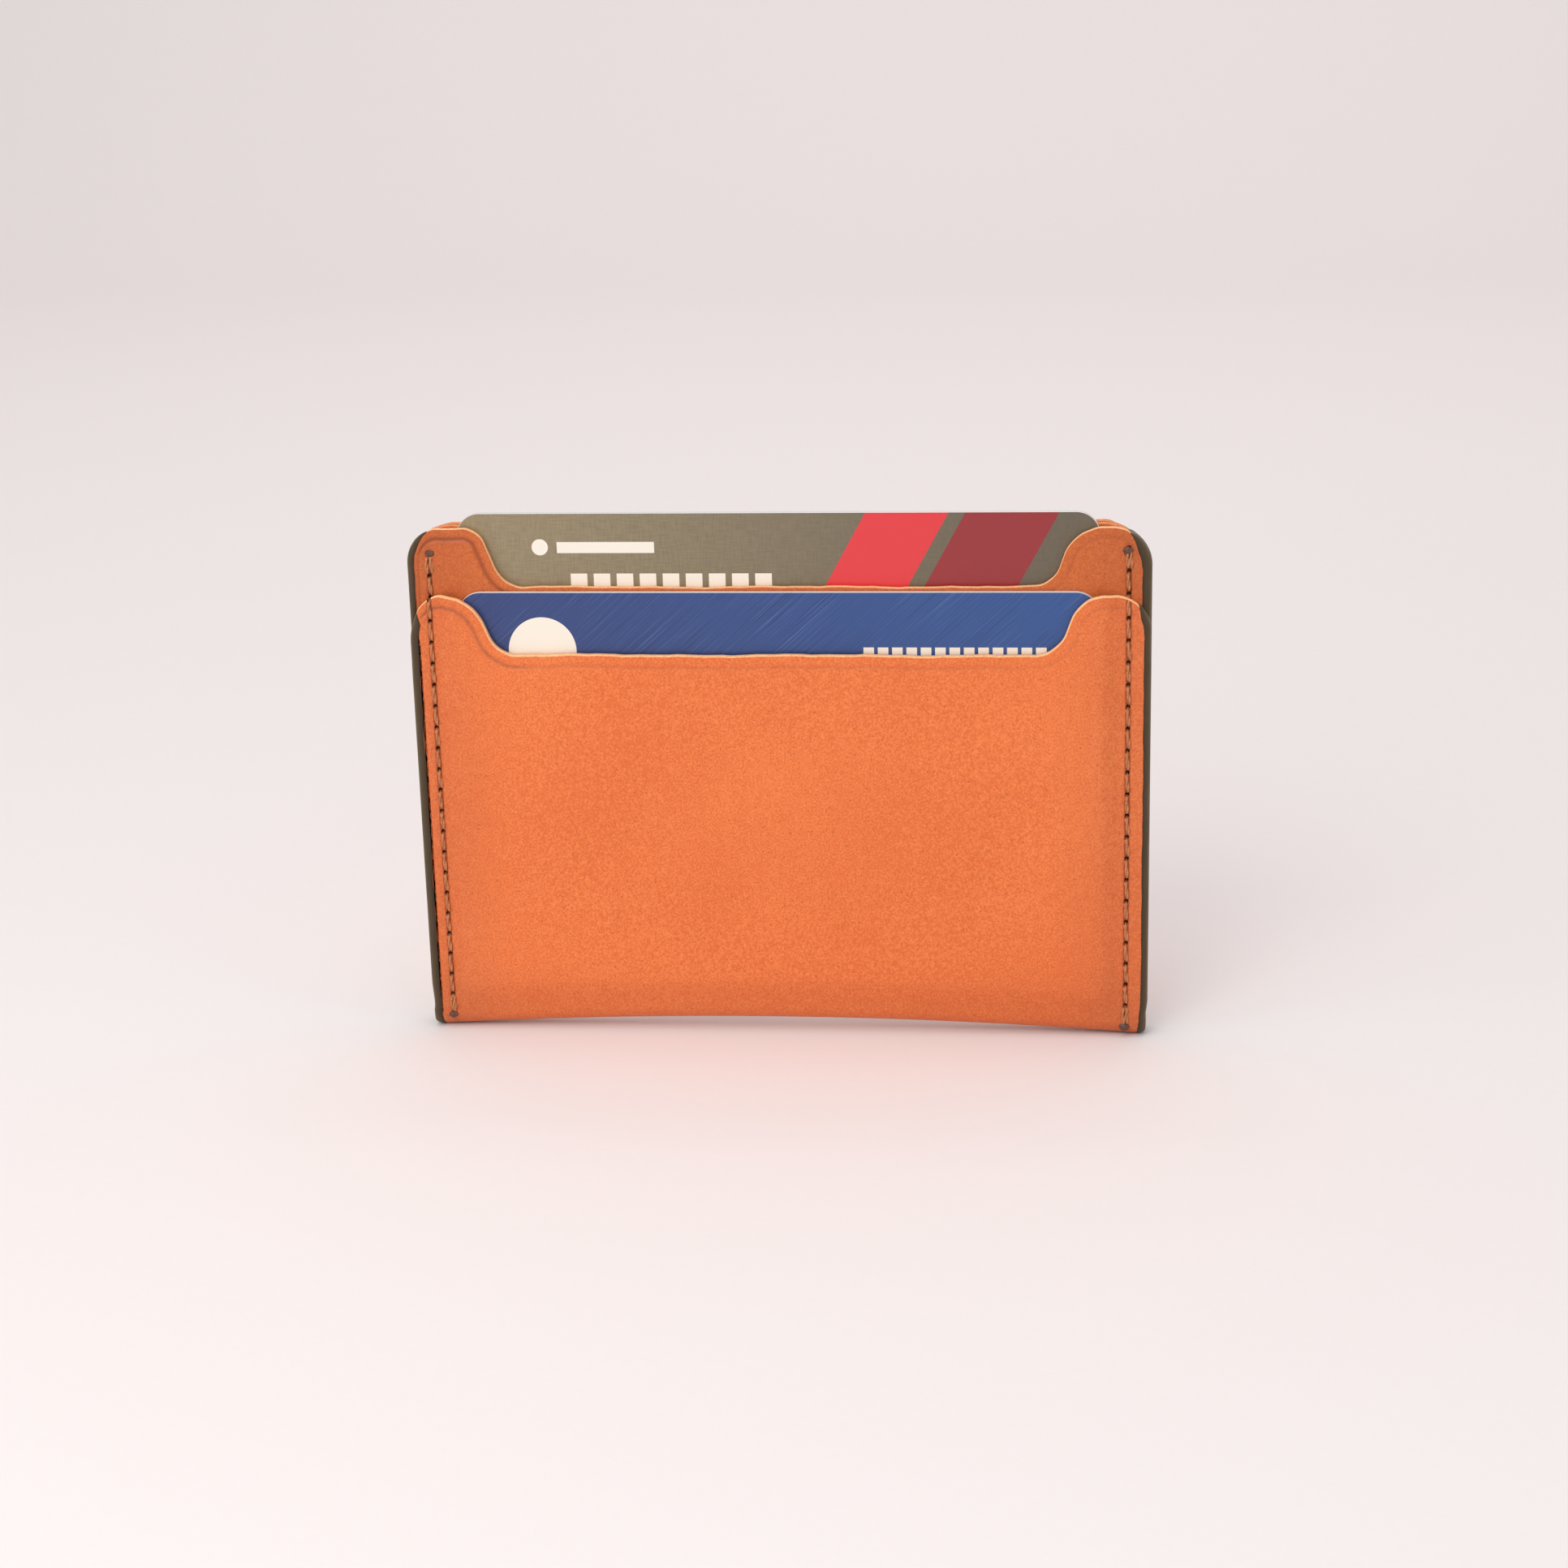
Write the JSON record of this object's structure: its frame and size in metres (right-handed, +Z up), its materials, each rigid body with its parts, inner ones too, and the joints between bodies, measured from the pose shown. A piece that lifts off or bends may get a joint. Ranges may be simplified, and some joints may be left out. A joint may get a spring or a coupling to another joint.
{
  "type": "card holder",
  "caption": "Slim leather card holder with stepped front pockets, a folded base, saddle-stitched burnished sides and sliding cards.",
  "frame": {"origin": "middle of the underside, where the folded base stands, half the side seam's thickness from each face of the seam", "axes": "+Z up towards the card slots, +X to the right seen from the front, +Y from the front pocket towards the plain back"},
  "size_m": [0.0992, 0.0067, 0.0727],
  "materials": {
    "outer_leather": "smooth vegetable-tanned, semi-matt",
    "pocket_leather": "smooth vegetable-tanned, semi-matt",
    "waxed_thread": "waxed twisted linen",
    "burnished_edge": "dyed, waxed and burnished",
    "contact_cement": "dried contact cement",
    "card_core": "laminated plastic, satin",
    "front_card_print": "printed film, satin",
    "rear_card_print": "printed film, satin",
    "card_back_print": "printed film, satin",
    "chip_contacts": "gold-plated contacts",
    "magnetic_stripe": "satin tape",
    "signature_panel": "matt, writable"
  },
  "bodies": {
    "holder": {"outer_wrap": "outer_leather", "second_pocket": "pocket_leather", "divider": "pocket_leather", "left_thread": "waxed_thread", "right_thread": "waxed_thread", "left_edge_coat": "burnished_edge", "right_edge_coat": "burnished_edge", "left_seam_cement": "contact_cement", "right_seam_cement": "contact_cement", "pocket_floor_cement": "contact_cement"},
    "front_card": {"front_card_core": "card_core", "front_card_face_film": "front_card_print", "front_card_back_film": "card_back_print", "front_card_chip": "chip_contacts", "front_card_stripe": "magnetic_stripe", "front_card_signature_panel": "signature_panel"},
    "rear_card": {"rear_card_core": "card_core", "rear_card_face_film": "rear_card_print", "rear_card_back_film": "card_back_print", "rear_card_chip": "chip_contacts", "rear_card_stripe": "magnetic_stripe", "rear_card_signature_panel": "signature_panel"}
  },
  "joints": [
    {"name": "front_card_slide", "type": "slide", "parent": "holder", "child": "front_card", "axis": [0, 0, 1], "range_m": [0, 0.066]},
    {"name": "rear_card_slide", "type": "slide", "parent": "holder", "child": "rear_card", "axis": [0, 0, 1], "range_m": [0, 0.056]}
  ]
}
